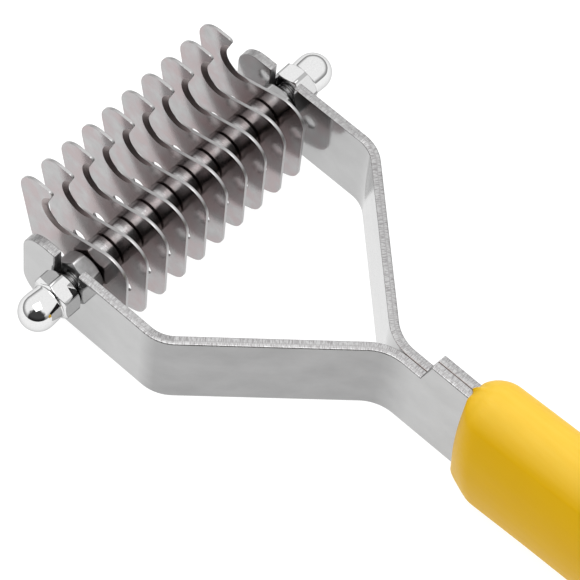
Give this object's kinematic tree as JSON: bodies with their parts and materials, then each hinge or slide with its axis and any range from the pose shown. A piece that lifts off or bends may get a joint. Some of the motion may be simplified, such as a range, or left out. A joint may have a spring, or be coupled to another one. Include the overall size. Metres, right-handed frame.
{
  "type": "dematting comb",
  "caption": "Dematting comb: hooked steel blades on a threaded rod across a forked steel frame, held by domed nuts, with an arched oval plastic handle.",
  "frame": {"origin": "centre of the hanging hole near the free end of the handle", "axes": "+X along the threaded rod from the left arm to the right arm, +Y along the tool from the handle to the blades, +Z the side the blade hooks and the fork's slots open to"},
  "size_m": [0.0818, 0.1908, 0.0352],
  "materials": {
    "handle_plastic": "semi-gloss moulded yellow",
    "fork_steel": "satin stainless strip with sheared edges",
    "blade_steel": "polished stainless with a dark ground edge",
    "spacer_steel": "turned, dark",
    "rod_steel": "rolled thread",
    "jam_nut_steel": "plain machined",
    "domed_nut_chrome": "polished chrome"
  },
  "bodies": {
    "fork": {"handle": "handle_plastic", "fork_arm_left": "fork_steel", "fork_arm_right": "fork_steel"},
    "rod": {"threaded_rod": "rod_steel"},
    "blade_pack": {"blade_01": "blade_steel", "blade_02": "blade_steel", "blade_03": "blade_steel", "blade_04": "blade_steel", "blade_05": "blade_steel", "blade_06": "blade_steel", "blade_07": "blade_steel", "blade_08": "blade_steel", "blade_09": "blade_steel", "blade_10": "blade_steel", "spacer_01": "spacer_steel", "spacer_02": "spacer_steel", "spacer_03": "spacer_steel", "spacer_04": "spacer_steel", "spacer_05": "spacer_steel", "spacer_06": "spacer_steel", "spacer_07": "spacer_steel", "spacer_08": "spacer_steel", "spacer_09": "spacer_steel"},
    "jam_nut_left": {"jam_nut_left": "jam_nut_steel"},
    "jam_nut_right": {"jam_nut_right": "jam_nut_steel"},
    "domed_nut_left": {"domed_nut_left": "domed_nut_chrome"},
    "domed_nut_right": {"domed_nut_right": "domed_nut_chrome"}
  },
  "joints": [
    {"name": "head_lift", "type": "slide", "parent": "fork", "child": "rod", "axis": [0, 0, 1], "range_m": [0, 0.012]},
    {"name": "blade_pack_turn", "type": "hinge", "parent": "rod", "child": "blade_pack", "pos_m": [0, 0.1613, -0.0016], "axis": [1, 0, 0], "continuous": true},
    {"name": "jam_nut_left_turn", "type": "hinge", "parent": "blade_pack", "child": "jam_nut_left", "pos_m": [0, 0.1613, -0.0016], "axis": [-1, 0, 0], "range_deg": [0, 5760]},
    {"name": "jam_nut_right_turn", "type": "hinge", "parent": "blade_pack", "child": "jam_nut_right", "pos_m": [0, 0.1613, -0.0016], "axis": [1, 0, 0], "range_deg": [0, 5760]},
    {"name": "domed_nut_left_turn", "type": "hinge", "parent": "rod", "child": "domed_nut_left", "pos_m": [0, 0.1613, -0.0016], "axis": [-1, 0, 0], "range_deg": [0, 3140]},
    {"name": "domed_nut_right_turn", "type": "hinge", "parent": "rod", "child": "domed_nut_right", "pos_m": [0, 0.1613, -0.0016], "axis": [1, 0, 0], "range_deg": [0, 3140]}
  ]
}
